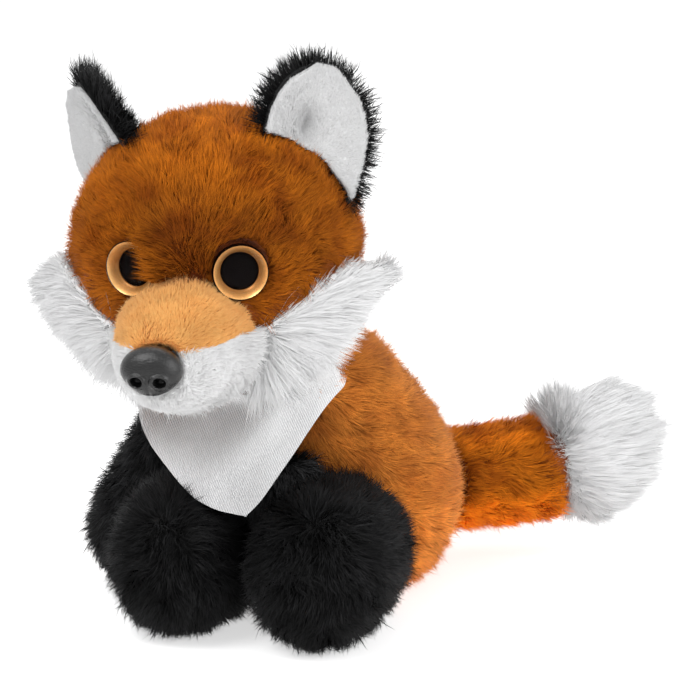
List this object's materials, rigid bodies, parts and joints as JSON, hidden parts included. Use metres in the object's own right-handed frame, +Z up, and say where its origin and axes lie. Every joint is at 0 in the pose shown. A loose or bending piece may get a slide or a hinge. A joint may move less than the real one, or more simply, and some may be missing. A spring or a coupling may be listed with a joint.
{
  "type": "plush fox",
  "caption": "Sitting plush fox, rust brown with black limbs and ears, white cheeks, a white tail tip and a plain white bandana.",
  "frame": {"origin": "middle of the flat seat under the body, on the surface that the toy sits on", "axes": "+Z up, the body and the legs face -Y, the fox's left side is +X"},
  "size_m": [0.1625, 0.2395, 0.1868],
  "materials": {
    "rust_plush": "rust brown medium pile",
    "black_plush": "black medium pile",
    "white_plush": "white short pile",
    "tan_plush": "tan short pile",
    "white_pile": "white long pile",
    "fibre": "loose polyester fibre",
    "pouch": "closed cloth bag of beads",
    "cloth": "plain white twill",
    "black_plastic": "gloss black",
    "nose_plastic": "satin black with a fine grain",
    "gold": "gold foil",
    "clear": "clear dome",
    "washer_plastic": "moulded, unfinished"
  },
  "bodies": {
    "body": {"body_cover": "rust_plush", "body_stuffing": "fibre", "bead_pouch": "pouch", "bandana": "cloth"},
    "neck": {"neck_stuffing": "fibre"},
    "head": {"head_cover": "rust_plush", "head_stuffing": "fibre", "muzzle_top": "tan_plush", "muzzle_chin": "white_plush", "muzzle_stuffing": "fibre", "nose": "nose_plastic", "nose_washer": "washer_plastic", "eye_cup_left": "black_plastic", "iris_ring_left": "gold", "eye_lens_left": "clear", "eye_washer_left": "washer_plastic", "cheek_ruff_left": "white_pile", "eye_cup_right": "black_plastic", "iris_ring_right": "gold", "eye_lens_right": "clear", "eye_washer_right": "washer_plastic", "cheek_ruff_right": "white_pile"},
    "ear_left": {"ear_back_left": "black_plush", "ear_lining_left": "white_plush"},
    "ear_right": {"ear_back_right": "black_plush", "ear_lining_right": "white_plush"},
    "leg_left": {"leg_left_cover": "black_plush", "leg_left_stuffing": "fibre"},
    "leg_right": {"leg_right_cover": "black_plush", "leg_right_stuffing": "fibre"},
    "arm_right": {"arm_right_cover": "black_plush", "arm_right_stuffing": "fibre"},
    "arm_left": {"arm_left_cover": "black_plush", "arm_left_stuffing": "fibre"},
    "tail": {"tail_cover": "rust_plush", "tail_stuffing": "fibre", "tail_tip": "white_pile"}
  },
  "joints": [
    {"name": "neck_nod", "type": "hinge", "parent": "body", "child": "neck", "pos_m": [-0.00117, -0.03666, 0.0893], "axis": [-1, 0, 0], "range_deg": [-3, 12], "stiffness_Nm_per_rad": 1.5},
    {"name": "head_turn", "type": "hinge", "parent": "neck", "child": "head", "pos_m": [-0.00117, -0.03666, 0.0893], "axis": [-0.1916, -0.5204, 0.8322], "range_deg": [-30, 30], "stiffness_Nm_per_rad": 0.5},
    {"name": "ear_left_fold", "type": "hinge", "parent": "head", "child": "ear_left", "pos_m": [0.02451, -0.05646, 0.15526], "axis": [0.6656, 0.503, -0.5514], "range_deg": [-15, 20], "stiffness_Nm_per_rad": 0.05},
    {"name": "ear_right_fold", "type": "hinge", "parent": "head", "child": "ear_right", "pos_m": [-0.04182, -0.06909, 0.15575], "axis": [0.6234, -0.5406, 0.5649], "range_deg": [-15, 20], "stiffness_Nm_per_rad": 0.05},
    {"name": "leg_left_splay", "type": "hinge", "parent": "body", "child": "leg_left", "pos_m": [0.02556, -0.03681, 0.0255], "axis": [0, 0, 1], "range_deg": [0, 14], "stiffness_Nm_per_rad": 0.4},
    {"name": "leg_right_splay", "type": "hinge", "parent": "body", "child": "leg_right", "pos_m": [-0.01901, -0.03681, 0.0255], "axis": [0, 0, -1], "range_deg": [0, 14], "stiffness_Nm_per_rad": 0.4},
    {"name": "arm_right_swing", "type": "hinge", "parent": "body", "child": "arm_right", "pos_m": [-0.03405, -0.03746, 0.06264], "axis": [0, 1, 0], "range_deg": [0, 40], "stiffness_Nm_per_rad": 0.15},
    {"name": "arm_left_swing", "type": "hinge", "parent": "body", "child": "arm_left", "pos_m": [0.00844, -0.04754, 0.04813], "axis": [-1, 0, 0], "range_deg": [0, 12], "stiffness_Nm_per_rad": 0.15},
    {"name": "tail_wag", "type": "hinge", "parent": "body", "child": "tail", "pos_m": [0.0196, 0.03741, 0.0275], "axis": [0, 0, 1], "range_deg": [-12, 25], "stiffness_Nm_per_rad": 0.2}
  ]
}
